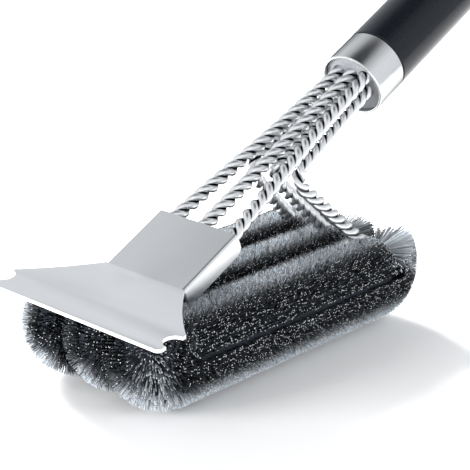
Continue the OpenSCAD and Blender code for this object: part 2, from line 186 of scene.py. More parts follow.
def activate(obj: bpy.types.Object) -> None:
    """Makes obj the only selected and the active object."""
    deselect_all()
    bpy.context.view_layer.objects.active = obj
    obj.select_set(True)


def link_mesh(name: str, mesh: bpy.types.Mesh) -> bpy.types.Object:
    """Makes an object of a mesh at the origin."""
    obj = bpy.data.objects.new(name, mesh)
    bpy.context.scene.collection.objects.link(obj)
    return obj


def mesh_object(
    name: str,
    points: np.ndarray,
    faces: np.ndarray,
    smooth: bool = True,
) -> bpy.types.Object:
    """Builds a mesh object from arrays.

    Args:
        name: Name of the piece.
        points: Corners in metres, one per line.
        faces: Corner numbers, with the same count in each face.
        smooth: Whether the faces are shaded smooth.

    Returns:
        The new object.
    """
    mesh = bpy.data.meshes.new(name)
    count, sides = faces.shape
    mesh.vertices.add(len(points))
    mesh.vertices.foreach_set("co", np.ascontiguousarray(points, np.float32).ravel())
    mesh.loops.add(count * sides)
    mesh.loops.foreach_set("vertex_index", np.ascontiguousarray(faces, np.int32).ravel())
    mesh.polygons.add(count)
    mesh.polygons.foreach_set("loop_start", np.arange(count, dtype=np.int32) * sides)
    mesh.polygons.foreach_set("use_smooth", np.full(count, smooth))
    mesh.update(calc_edges=True)
    mesh.validate()
    return link_mesh(name, mesh)


def tube(name: str, rings: np.ndarray, along: np.ndarray, closed: bool) -> bpy.types.Object:
    """Builds a swept tube without ends, with a UV map whose U runs along it.

    Args:
        name: Name of the piece.
        rings: Corners, by ring and by place in the ring.
        along: U at each ring, and once more for the first ring where the tube is closed.
        closed: Whether the last ring joins the first.

    Returns:
        The tube.
    """
    count, sides = rings.shape[:2]
    spans = count if closed else count - 1
    i, j = np.meshgrid(np.arange(spans), np.arange(sides), indexing="ij")
    k, m = (j + 1) % sides, (i + 1) % count
    faces = np.stack([i * sides + j, i * sides + k, m * sides + k, m * sides + j], axis=-1)
    obj = mesh_object(name, rings.reshape(-1, 3), faces.reshape(-1, 4))
    u0, u1, v0, v1 = along[i], along[i + 1], j / sides, (j + 1) / sides
    corners = np.stack([u0, v0, u0, v1, u1, v1, u1, v0], axis=-1)
    uv = obj.data.uv_layers.new(name="length")
    uv.data.foreach_set("uv", corners.ravel().astype(np.float32))
    return obj


def recalculate_normals(obj: bpy.types.Object) -> None:
    """Merges doubled corners and turns all faces outwards.

    Args:
        obj: The piece.
    """
    activate(obj)
    bpy.ops.object.mode_set(mode="EDIT")
    bpy.ops.mesh.select_all(action="SELECT")
    bpy.ops.mesh.remove_doubles(threshold=1e-6)
    bpy.ops.mesh.normals_make_consistent(inside=False)
    bpy.ops.object.mode_set(mode="OBJECT")
    deselect_all()


def smooth_by_angle(obj: bpy.types.Object, degrees: float = 35.0) -> None:
    """Shades obj smooth but for its sharp edges."""
    activate(obj)
    bpy.ops.object.shade_smooth_by_angle(angle=math.radians(degrees))
    deselect_all()


def bevel(obj: bpy.types.Object, width: float, segments: int = 2, degrees: float = 40.0) -> None:
    """Rounds the sharp edges of obj.

    Args:
        obj: The piece.
        width: Width of the rounding in millimetres.
        segments: Faces across the rounding.
        degrees: The least angle of an edge that is rounded.
    """
    activate(obj)
    modifier = obj.modifiers.new("edges", "BEVEL")
    modifier.width = width * MM
    modifier.segments = segments
    modifier.limit_method = "ANGLE"
    modifier.angle_limit = math.radians(degrees)
    modifier.use_clamp_overlap = True
    bpy.ops.object.modifier_apply(modifier=modifier.name)
    deselect_all()


def lathe(name: str, profile: Sequence[tuple[float, float]], steps: int = 128) -> bpy.types.Object:
    """Spins a closed profile round the handle's axis.

    Args:
        name: Name of the piece.
        profile: Corners as distance along the handle from its mouth and radius, in millimetres.
        steps: Number of faces round the axis.

    Returns:
        The closed piece in the row frame.
    """
    mesh = bpy.data.meshes.new(name)
    corners = [(x, 0.0, r) for x, r in profile]
    edges = [(i, (i + 1) % len(corners)) for i in range(len(corners))]
    mesh.from_pydata(corners, edges, [])
    obj = link_mesh(name, mesh)
    activate(obj)
    bpy.ops.object.mode_set(mode="EDIT")
    bpy.ops.mesh.select_all(action="SELECT")
    bpy.ops.mesh.spin(steps=steps, angle=2 * math.pi, center=(0, 0, 0), axis=(1, 0, 0))
    bpy.ops.mesh.select_all(action="SELECT")
    bpy.ops.mesh.remove_doubles(threshold=1e-4)
    bpy.ops.mesh.normals_make_consistent(inside=False)
    bpy.ops.object.mode_set(mode="OBJECT")
    obj.data.transform(LAYOUT.handle_matrix())
    return obj


def rounded(profile: Sequence[tuple[float, float, float]], steps: int = 4) -> list[tuple[float, float]]:
    """Rounds the corners of a closed profile.

    Args:
        profile: Corners as X, Y and the radius of the corner.
        steps: Faces in each rounding.

    Returns:
        The corners of the rounded profile.
    """
    out: list[tuple[float, float]] = []
    n = len(profile)
    for i, (x, y, r) in enumerate(profile):
        here = np.array([x, y])
        if r <= 0:
            out.append((x, y))
            continue
        back = unit(np.array(profile[i - 1][:2]) - here)
        ahead = unit(np.array(profile[(i + 1) % n][:2]) - here)
        half = math.acos(float(np.clip(back @ ahead, -1, 1))) / 2
        centre = here + unit(back + ahead) * r / math.sin(half)
        start = here + back * r / math.tan(half) - centre
        end = here + ahead * r / math.tan(half) - centre
        a0, a1 = math.atan2(start[1], start[0]), math.atan2(end[1], end[0])
        sweep = (a1 - a0 + math.pi) % (2 * math.pi) - math.pi
        for k in range(steps + 1):
            a = a0 + sweep * k / steps
            out.append((centre[0] + r * math.cos(a), centre[1] + r * math.sin(a)))
    return out


def refined_copy(node: str, name: str, edge: float, segments: int = 2) -> bpy.types.Object:
    """Copies a CAD node's mesh, merges its loose triangles and rounds its sharp edges.

    Args:
        node: The CAD node.
        name: Name of the piece.
        edge: Width of the rounding in millimetres.
        segments: Faces across the rounding.

    Returns:
        The new piece, which replaces the node.
    """
    obj = link_mesh(name, frame["nodes"][node].data.copy())
    obj.data.materials.clear()
    activate(obj)
    bpy.ops.object.mode_set(mode="EDIT")
    bpy.ops.mesh.select_all(action="SELECT")
    bpy.ops.mesh.remove_doubles(threshold=MERGE)
    bpy.ops.mesh.dissolve_limited(angle_limit=math.radians(0.5))
    bpy.ops.object.mode_set(mode="OBJECT")
    if edge > 0:
        bevel(obj, edge, segments)
    smooth_by_angle(obj, 30)
    return obj


def register(
    obj: bpy.types.Object,
    material: bpy.types.Material,
    nodes: Sequence[str],
    body: str = BRUSH,
) -> bpy.types.Object:
    """Dresses a finished piece and ties it to the frame.

    Args:
        obj: The piece.
        material: Its first material.
        nodes: The CAD nodes that it stands for.
        body: The body that it rides on.

    Returns:
        The piece.
    """
    if not obj.data.materials:
        obj.data.materials.append(material)
    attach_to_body(obj, body)
    if nodes:
        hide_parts(*nodes)
    LOG.info("built %s for %s", obj.name, ", ".join(nodes) or body)
    return obj


def dress_node(node: str, material: bpy.types.Material) -> None:
    """Gives a CAD node that stays visible its material."""
    data = frame["nodes"][node].data
    data.materials.clear()
    data.materials.append(material)
    LOG.info("dressed %s", node)


# ------------------------------------------------------------------------------------------- finishes


def grey(value: float, blue: float = 0.0) -> tuple[float, float, float]:
    """A grey with a little blue in it."""
    return (value * (1 - blue), value, value * (1 + blue))


def set_stops(node: bpy.types.Node, stops: Sequence[tuple[float, Sequence[float]]]) -> None:
    """Gives a colour ramp its stops.

    Args:
        node: The ramp's node.
        stops: Position and colour of each stop.
    """
    elements = node.color_ramp.elements
    while len(elements) < len(stops):
        elements.new(0.5)
    for element, (position, colour) in zip(elements, stops):
        element.position = position
        element.color = (*colour, 1)


class Shader:
    """A small builder for one node material."""

    def __init__(self, name: str, **values: object) -> None:
        """Starts a material with one Principled shader.

        Args:
            name: Name of the material.
            values: Plain values of the shader's sockets, by name with spaces as underscores.
        """
        self.material = bpy.data.materials.new(name)
        self.material.use_nodes = True
        self.tree = self.material.node_tree
        self.principled = self.tree.nodes["Principled BSDF"]
        for key, value in values.items():
            self.principled.inputs[key.replace("_", " ")].default_value = value

    def add(self, kind: str, **settings: object) -> bpy.types.Node:
        """Adds a node.

        Args:
            kind: The node's type.
            settings: Its properties, or its inputs where a name is one of them.

        Returns:
            The node.
        """
        node = self.tree.nodes.new(kind)
        for key, value in settings.items():
            label = key.replace("_", " ")
            if label in node.inputs:
                node.inputs[label].default_value = value
            else:
                setattr(node, key, value)
        return node

    def link(self, source: bpy.types.NodeSocket, target: bpy.types.NodeSocket) -> None:
        """Joins two sockets."""
        self.tree.links.new(source, target)

    def attribute(self, name: str) -> bpy.types.NodeSocket:
        """Reads a number that the mesh carries at each corner."""
        return self.add("ShaderNodeAttribute", attribute_name=name).outputs["Fac"]

    def coordinates(
        self, output: str, scale: Sequence[float], turn: Sequence[float] = (0, 0, 0)
    ) -> bpy.types.NodeSocket:
        """Gives scaled texture coordinates.

        Args:
            output: The Texture Coordinate output, such as Object or UV.
            scale: Scale on each axis.
            turn: Rotation in radians, before the scale.

        Returns:
            The vector socket.
        """
        source = self.add("ShaderNodeTexCoord").outputs[output]
        if any(turn):
            rotate = self.add("ShaderNodeVectorRotate", rotation_type="EULER_XYZ")
            rotate.inputs["Rotation"].default_value = tuple(turn)
            self.link(source, rotate.inputs["Vector"])
            source = rotate.outputs[0]
        mapping = self.add("ShaderNodeMapping")
        mapping.inputs["Scale"].default_value = tuple(scale)
        self.link(source, mapping.inputs["Vector"])
        return mapping.outputs[0]

    def noise(
        self, vector: bpy.types.NodeSocket, detail: float = 3.0, roughness: float = 0.5
    ) -> bpy.types.NodeSocket:
        """Adds a noise texture.

        Args:
            vector: The coordinates.
            detail: Number of finer layers.
            roughness: Strength of the finer layers.

        Returns:
            The factor.
        """
        node = self.add("ShaderNodeTexNoise", Scale=1.0, Detail=detail, Roughness=roughness)
        self.link(vector, node.inputs["Vector"])
        return node.outputs["Fac"]

    def spread(
        self, value: bpy.types.NodeSocket, low: float, high: float, start: float = 0.3, end: float = 0.7
    ) -> bpy.types.NodeSocket:
        """Maps a factor to another range.

        Args:
            value: The factor.
            low: Result at start.
            high: Result at end.
            start: Lower limit of the factor.
            end: Upper limit of the factor.

        Returns:
            The result.
        """
        node = self.add("ShaderNodeMapRange")
        for key, number in (("From Min", start), ("From Max", end), ("To Min", low), ("To Max", high)):
            node.inputs[key].default_value = number
        self.link(value, node.inputs["Value"])
        return node.outputs["Result"]

    def ramp(
        self, value: bpy.types.NodeSocket, stops: Sequence[tuple[float, Sequence[float]]]
    ) -> bpy.types.NodeSocket:
        """Maps a factor to colours.

        Args:
            value: The factor.
            stops: Position and colour of each stop.

        Returns:
            The colour.
        """
        node = self.add("ShaderNodeValToRGB")
        set_stops(node, stops)
        self.link(value, node.inputs["Fac"])
        return node.outputs["Color"]

    def greys(
        self, value: bpy.types.NodeSocket, stops: Sequence[tuple[float, float, float]]
    ) -> bpy.types.NodeSocket:
        """Maps a factor to greys.

        Args:
            value: The factor.
            stops: Position of each stop, its tone and how blue it is.

        Returns:
            The colour.
        """
        return self.ramp(value, [(position, grey(tone, blue)) for position, tone, blue in stops])

    def multiplied(self, first: bpy.types.NodeSocket, second: bpy.types.NodeSocket) -> bpy.types.NodeSocket:
        """Multiplies two colours.

        Args:
            first: One colour.
            second: The other.

        Returns:
            Their product.
        """
        node = self.add("ShaderNodeMix", data_type="RGBA", blend_type="MULTIPLY")
        node.inputs["Factor"].default_value = 1.0
        self.link(first, node.inputs["A"])
        self.link(second, node.inputs["B"])
        return node.outputs["Result"]

    def bump(self, height: bpy.types.NodeSocket, strength: float, distance: float) -> None:
        """Presses a height into the surface.

        Args:
            height: The height factor.
            strength: Share of the bump that shows.
            distance: Height of the bump in metres.
        """
        node = self.add("ShaderNodeBump", Strength=strength, Distance=distance)
        self.link(height, node.inputs["Height"])
        self.link(node.outputs["Normal"], self.principled.inputs["Normal"])

    def finish(self, **sockets: bpy.types.NodeSocket) -> bpy.types.Material:
        """Links the shader's inputs, by name with spaces as underscores, and returns the material."""
        for key, source in sockets.items():
            self.link(source, self.principled.inputs[key.replace("_", " ")])
        return self.material


@dataclass(frozen=True)
class BrushedSheet:
    """Satin sheet steel with a fine grain across the brush."""

    name: str
    tone: float
    roughness: float = 0.34
    grain: float = 0.05
    cloud_share: float = 0.35

    def build(self) -> bpy.types.Material:
        """Returns the material."""
        shader = Shader(self.name, Metallic=1.0, Anisotropic=0.3)
        fine = shader.noise(shader.coordinates("Object", (2500, 90, 2500)), 4.0, 0.6)
        cloud = shader.noise(shader.coordinates("Object", (45, 45, 45)), 2.0)
        mix = shader.add("ShaderNodeMix", data_type="FLOAT", Factor=self.cloud_share)
        shader.link(fine, mix.inputs["A"])
        shader.link(cloud, mix.inputs["B"])
        low, high = self.tone * (1 - self.grain), self.tone * (1 + self.grain)
        colour = shader.greys(mix.outputs["Result"], ((0.3, low, 0.012), (0.7, high, 0.012)))
        shader.bump(fine, 0.12, 0.00003)
        roughness = shader.spread(fine, self.roughness - 0.05, self.roughness + 0.06)
        return shader.finish(Base_Color=colour, Roughness=roughness)


@dataclass(frozen=True)
class CutEdge:
    """The bright cut edge of the sheet."""

    name: str = "cut_edge"

    def build(self) -> bpy.types.Material:
        """Returns the material."""
        shader = Shader(self.name, Metallic=0.6, Specular_IOR_Level=0.6)
        fine = shader.noise(shader.coordinates("Object", (900, 900, 3000)))
        colour = shader.greys(fine, ((0.3, 0.86, 0.0), (0.7, 0.95, 0.0)))
        return shader.finish(Base_Color=colour, Roughness=shader.spread(fine, 0.3, 0.42))


@dataclass(frozen=True)
class DrawnWire:
    """Bright wire with fine lengthwise drawing marks, read from the wire's own UV map, and painted shade on
    the side that faces the other wire.
    """

    name: str
    tone: float = 0.92
    roughness: float = 0.3
    edge: float = 0.1
    # Painted shade round the wire: place from its outer side to the other wire, and the tone there
    shade: tuple[tuple[float, float, float], ...] = ((0.5, 1.0, 0.0), (0.7, 0.1, 0.0))

    def build(self) -> bpy.types.Material:
        """Returns the material."""
        shader = Shader(self.name, Metallic=1.0, Specular_Tint=(self.edge, self.edge, self.edge, 1))
        marks = shader.noise(shader.coordinates("UV", (6, 14, 1)), 4.0, 0.65)
        drawn = shader.greys(marks, ((0.32, self.tone * 0.82, 0.01), (0.62, self.tone, 0.01)))
        # The drawn colour is darkened by painted shade on the side of each wire that faces the other.
        colour = shader.multiplied(drawn, shader.greys(shader.attribute("painted_crevice_shade"), self.shade))
        shader.bump(marks, 0.25, 0.00004)
        roughness = shader.spread(marks, self.roughness - 0.05, self.roughness + 0.10)
        return shader.finish(Base_Color=colour, Roughness=roughness)


@dataclass(frozen=True)
class Filament:
    """Thin steel filaments with painted shade that darkens them towards their roots and painted light on
    their lit sides, each with its own random tone.
    """

    name: str = "bristle_filaments"
    roughness: float = 0.30
    # Painted shade along a filament: reach from root to tip, its tone there and how blue it is
    stops: tuple[tuple[float, float, float], ...] = (
        (0.0, 0.035, 0.3),
        (0.76, 0.0875, 0.26),
        (0.9, 0.54, 0.08),
        (1.0, 0.9, 0.05),
    )

    def build(self) -> bpy.types.Material:
        """Returns the material."""
        shader = Shader(self.name, Metallic=0.4, Specular_Tint=(0.0, 0.0, 0.0, 1))
        # Painted light and shade for each filament, times its own random tone.
        painted_light_and_tone = shader.greys(shader.attribute("painted_light_and_tone"), ((0.0, 0.0, 0.0), (1.0, 1.0, 0.0)))
        colour = shader.multiplied(shader.greys(shader.attribute("reach"), self.stops), painted_light_and_tone)
        low, high = self.roughness - 0.08, self.roughness + 0.12
        roughness = shader.spread(shader.attribute("tone"), low, high, 0.0, 1.0)
        return shader.finish(Base_Color=colour, Roughness=roughness)


@dataclass(frozen=True)
class CutTips:
    """The cut ends of the filaments: mostly dark, with painted glints on those with a high tone."""

    name: str = "cut_tips"
    # A filament's own tone, the tone of its end and how blue that is; the bright last stop is a painted glint
    stops: tuple[tuple[float, float, float], ...] = ((0.0, 0.03, 0.2), (0.78, 0.06, 0.2), (0.84, 0.97, 0.03))

    def build(self) -> bpy.types.Material:
        """Returns the material."""
        shader = Shader(self.name, Metallic=0.2, Roughness=0.5)
        return shader.finish(Base_Color=shader.greys(shader.attribute("tone"), self.stops))


@dataclass(frozen=True)
class PolishedSleeve:
    """Turned and polished sleeve steel with a faint lengthwise polish."""

    name: str = "sleeve_steel"
    tone: float = 0.70
    roughness: float = 0.2
    edge: float = 0.2

    def build(self) -> bpy.types.Material:
        """Returns the material."""
        shader = Shader(self.name, Metallic=1.0, Specular_Tint=(self.edge, self.edge, self.edge, 1))
        vector = shader.coordinates("Object", (120, 2600, 2600), (0, LAYOUT.handle_tilt, 0))
        fine = shader.noise(vector, 4.0, 0.6)
        colour = shader.greys(fine, ((0.3, self.tone * 0.95, 0.01), (0.7, self.tone * 1.04, 0.01)))
        shader.bump(fine, 0.06, 0.00002)
        roughness = shader.spread(fine, self.roughness - 0.03, self.roughness + 0.05)
        return shader.finish(Base_Color=colour, Roughness=roughness)


@dataclass(frozen=True)
class Moulded:
    """Moulded plastic or rubber with a fine grain."""

    name: str
    colour: tuple[float, float, float]
    roughness: float
    gloss: float = 0.5
    grain: float = 0.08
    size: float = 900.0
    contrast: float = 0.15

    def build(self) -> bpy.types.Material:
        """Returns the material."""
        shader = Shader(self.name, Metallic=0.0, Specular_IOR_Level=self.gloss)
        fine = shader.noise(shader.coordinates("Object", (self.size,) * 3), 4.0, 0.6)
        dark = tuple(c * (1 - self.contrast) for c in self.colour)
        light = tuple(c * (1 + self.contrast) for c in self.colour)
        shader.bump(fine, self.grain, 0.00003)
        roughness = shader.spread(fine, self.roughness - 0.04, self.roughness + 0.05)
        return shader.finish(Base_Color=shader.ramp(fine, [(0.3, dark), (0.7, light)]), Roughness=roughness)


Look = dict[str, bpy.types.Material]
FINISHES = (
    BrushedSheet("blade_sheet", 0.75),
    # The same sheet steel, made darker for the faces that slope with the handle: painted shade
    BrushedSheet("slope_sheet_painted_shade", 0.68),
    CutEdge(),
    DrawnWire("stem_wire"),
    Filament(),
    CutTips(),
    PolishedSleeve(),
    Moulded("grip_black", (0.006, 0.0075, 0.010), 0.2, gloss=0.24),
    Moulded("seam_black", (0.015, 0.015, 0.015), 0.6),
    # Near-black painted shade for the body inside each row
    Moulded("bristle_shade", (0.012, 0.015, 0.021), 0.9, grain=0.5, size=1500.0),
    Moulded("plug_grey", (0.25, 0.26, 0.275), 0.5),
)


# ---------------------------------------------------------------------------------------------- stems


class FilletedPath:
    """A path of straight legs and round bends through given corners."""

    def __init__(self, corners: Sequence[np.ndarray], radii: Sequence[float]) -> None:
        """Works out the path's legs and bends.

        Args:
            corners: The corners in millimetres, with the fold at X = 0.
            radii: The bend radius at each corner; the ends have none.
        """
        self.corners = [np.asarray(c, float) for c in corners]
        # Each part: its length, its bend radius or 0, and what sample() needs to walk along it
        self.parts: list[tuple] = []
        self.bend_at: dict[int, tuple[float, float]] = {}
        here, at = self.corners[0], 0.0
        for i in range(1, len(self.corners)):
            ahead = unit(self.corners[i] - self.corners[i - 1])
            reach = 0.0
            bend = None
            if i < len(self.corners) - 1:
                back, out = -ahead, unit(self.corners[i + 1] - self.corners[i])
                half = math.acos(float(np.clip(back @ out, -1, 1))) / 2
                if half < ALMOST_STRAIGHT:
                    r = radii[i]
                    reach = r / math.tan(half)
                    centre = self.corners[i] + unit(back + out) * r / math.sin(half)
                    start = unit(self.corners[i] + back * reach - centre)
                    bend = (r * (math.pi - 2 * half), r, centre, start, ahead)
            end = self.corners[i] - ahead * reach
            length = float(np.linalg.norm(end - here))
            self.parts.append((length, 0.0, here, ahead, ahead))
            at += length
            here = end
            if bend is not None:
                self.parts.append(bend)
                self.bend_at[i] = (at, at + bend[0])
                at += bend[0]
                here = self.corners[i] + out * reach
        self.length = at

    def sample(self, distances: np.ndarray) -> tuple[np.ndarray, np.ndarray]:
        """Walks along the path.

        Args:
            distances: Distances from its first corner.

        Returns:
            The points and the directions there.
        """
        points = np.empty((len(distances), 3))
        ways = np.empty((len(distances), 3))
        at = 0.0
        for k, (length, r, a, b, c) in enumerate(self.parts):
            last = k == len(self.parts) - 1
            pick = (distances >= at - 1e-9) & (distances < at + length) | (last & (distances >= at))
            s = (distances[pick] - at)[:, None]
            if r == 0.0:
                points[pick] = a + s * b
                ways[pick] = b
            else:
                turn = s / r
                points[pick] = a + r * (np.cos(turn) * b + np.sin(turn) * c)
                ways[pick] = np.cos(turn) * c - np.sin(turn) * b
            at += length
        return points, ways


@dataclass(frozen=True)
class StemSet:
    """The three stems, each of two wires twisted round each other and bent into a triangle."""

    wire_diameter: float = 2.84
    twist_length: float = 10.8
    row_height: float = 17.6
    row_pitch: float = 20.5
    rear_corner: float = 127.8
    rear_arm_tilt: float = math.radians(38.5)
    elbow_drop: float = 4.6
    elbow_y: float = 11.3
    mouth_pitch: float = 6.2
    neck: float = 90.0
    neck_pitch: float = 8.4
    neck_radius: float = 150.0
    channel_rear_pitch: float = 14.1
    fold_pitch: float = 14.75
    lead_radius: float = 25.0
    bend_radius: float = 6.0
    elbow_radius: float = 5.0
    tail: float = 36.0
    front_corner: int = 5
    rear_corner_number: int = 6
    wire_sides: int = 14
    rings_per_turn: int = 18
    # Share of the twist that the drawing marks are turned back by, so they stay on the wire
    mark_turn: float = 0.8
    mark_length: float = 10.0
    twists: tuple[Twist, Twist, Twist] = (Twist.LEFT_HAND, Twist.RIGHT_HAND, Twist.RIGHT_HAND)
    phases: tuple[float, float, float] = (21.0, 23.0, -11.0)

    def path(self, row: Row) -> FilletedPath:
        """Works out the centre line of a stem.

        Args:
            row: The stem.

        Returns:
            The path from the handle over the front arm, the row and the rear arm back to the handle.
        """
        k = row.value
        lay = LAYOUT
        tilt = lay.handle_tilt
        front_s = (self.row_height - lay.fold_height + lay.stem_drop * math.cos(tilt)) / math.sin(tilt)
        front_x = front_s * math.cos(tilt) + lay.stem_drop * math.sin(tilt)
        low = (self.row_height - lay.fold_height) * math.cos(tilt) - self.rear_corner * math.sin(tilt)
        arm = (-lay.stem_drop - self.elbow_drop - low) / math.sin(self.rear_arm_tilt + tilt)
        elbow = np.array(
            [
                self.rear_corner - arm * math.cos(self.rear_arm_tilt),
                k * self.elbow_y,
                self.row_height + arm * math.sin(self.rear_arm_tilt),
            ]
        )
        corners = [
            lay.slope_point(lay.mouth + self.tail, k * self.mouth_pitch, -lay.stem_drop),
            lay.slope_point(lay.mouth, k * self.mouth_pitch, -lay.stem_drop),
            lay.slope_point(self.neck, k * self.neck_pitch, -lay.stem_drop),
            lay.slope_point(lay.channel_length, k * self.channel_rear_pitch, -lay.stem_drop),
            lay.slope_point(0, k * self.fold_pitch, -lay.stem_drop),
            np.array([front_x, k * self.row_pitch, self.row_height]),
            np.array([self.rear_corner, k * self.row_pitch, self.row_height]),
            elbow,
            lay.slope_point(lay.mouth, k * self.mouth_pitch, -lay.axis_drop - lay.stem_down),
            lay.slope_point(lay.mouth + self.tail, k * self.mouth_pitch, -lay.axis_drop - lay.stem_down),
        ]
        lead, bend = self.lead_radius, self.bend_radius
        radii = [0, lead, self.neck_radius, lead, lead, bend, bend, self.elbow_radius, lead, 0]
        return FilletedPath(corners, radii)

    def wire(self, row: Row, half_turn: float, name: str) -> bpy.types.Object:
        """Sweeps one wire of a stem.

        Args:
            row: The stem.
            half_turn: 0 or 180, which of the two wires.
            name: Name of the piece.

        Returns:
            The wire, with a UV map whose U runs along it in centimetres.
        """
        path = self.path(row)
        hand = self.twists[row.value + 1].value
        rings = round(path.length / self.twist_length * self.rings_per_turn)
        s = np.linspace(0, path.length, rings + 1)
        centre, way = path.sample(s)
        across, up = cross_section(way)
        start = math.radians(self.phases[row.value + 1] + half_turn)
        turn = hand * 2 * np.pi * s / self.twist_length + start
        out = np.cos(turn)[:, None] * across + np.sin(turn)[:, None] * up
        radius = self.wire_diameter / 2
        line = centre + radius * out
        along = unit(np.gradient(line, axis=0))
        x = unit(out - np.sum(out * along, axis=1, keepdims=True) * along)
        y = np.cross(along, x)
        angle = 2 * np.pi * np.arange(self.wire_sides) / self.wire_sides
        spin = angle[None, :] - turn[:, None] * self.mark_turn
        rim = np.cos(spin)[..., None] * x[:, None, :] + np.sin(spin)[..., None] * y[:, None, :]
        points = LAYOUT.to_frame(line[:, None, :] + radius * rim)
        obj = tube(name, points, s / self.mark_length, closed=False)
        # Painted shade: 0 on the wire's outer side to 1 where it faces the other wire.
        attach(obj, "painted_crevice_shade", 0.5 - 0.5 * np.cos(spin))
        self.close_ends(obj, self.wire_sides, rings)
        return obj

    @staticmethod
    def close_ends(obj: bpy.types.Object, sides: int, rings: int) -> None:
        """Caps the two ends of a swept wire.

        Args:
            obj: The wire.
            sides: Number of corners in each ring.
            rings: Number of the last ring.
        """
        mesh = bmesh.new()
        mesh.from_mesh(obj.data)
        mesh.verts.ensure_lookup_table()
        first = [mesh.verts[i] for i in range(sides)]
        last = [mesh.verts[rings * sides + i] for i in range(sides)]
        mesh.faces.new(list(reversed(first)))
        mesh.faces.new(last)
        mesh.to_mesh(obj.data)
        mesh.free()

    def build(self, look: Look) -> None:
        """Builds the six wires.

        Args:
            look: The brush's materials by name.
        """
        for row in Row:
            for letter, half_turn in (("a", 0.0), ("b", 180.0)):
                node = f"{row.name.lower()}_stem_wire_{letter}"
                obj = self.wire(row, half_turn, f"{node}_drawn")
                register(obj, look["stem_wire"], [node])


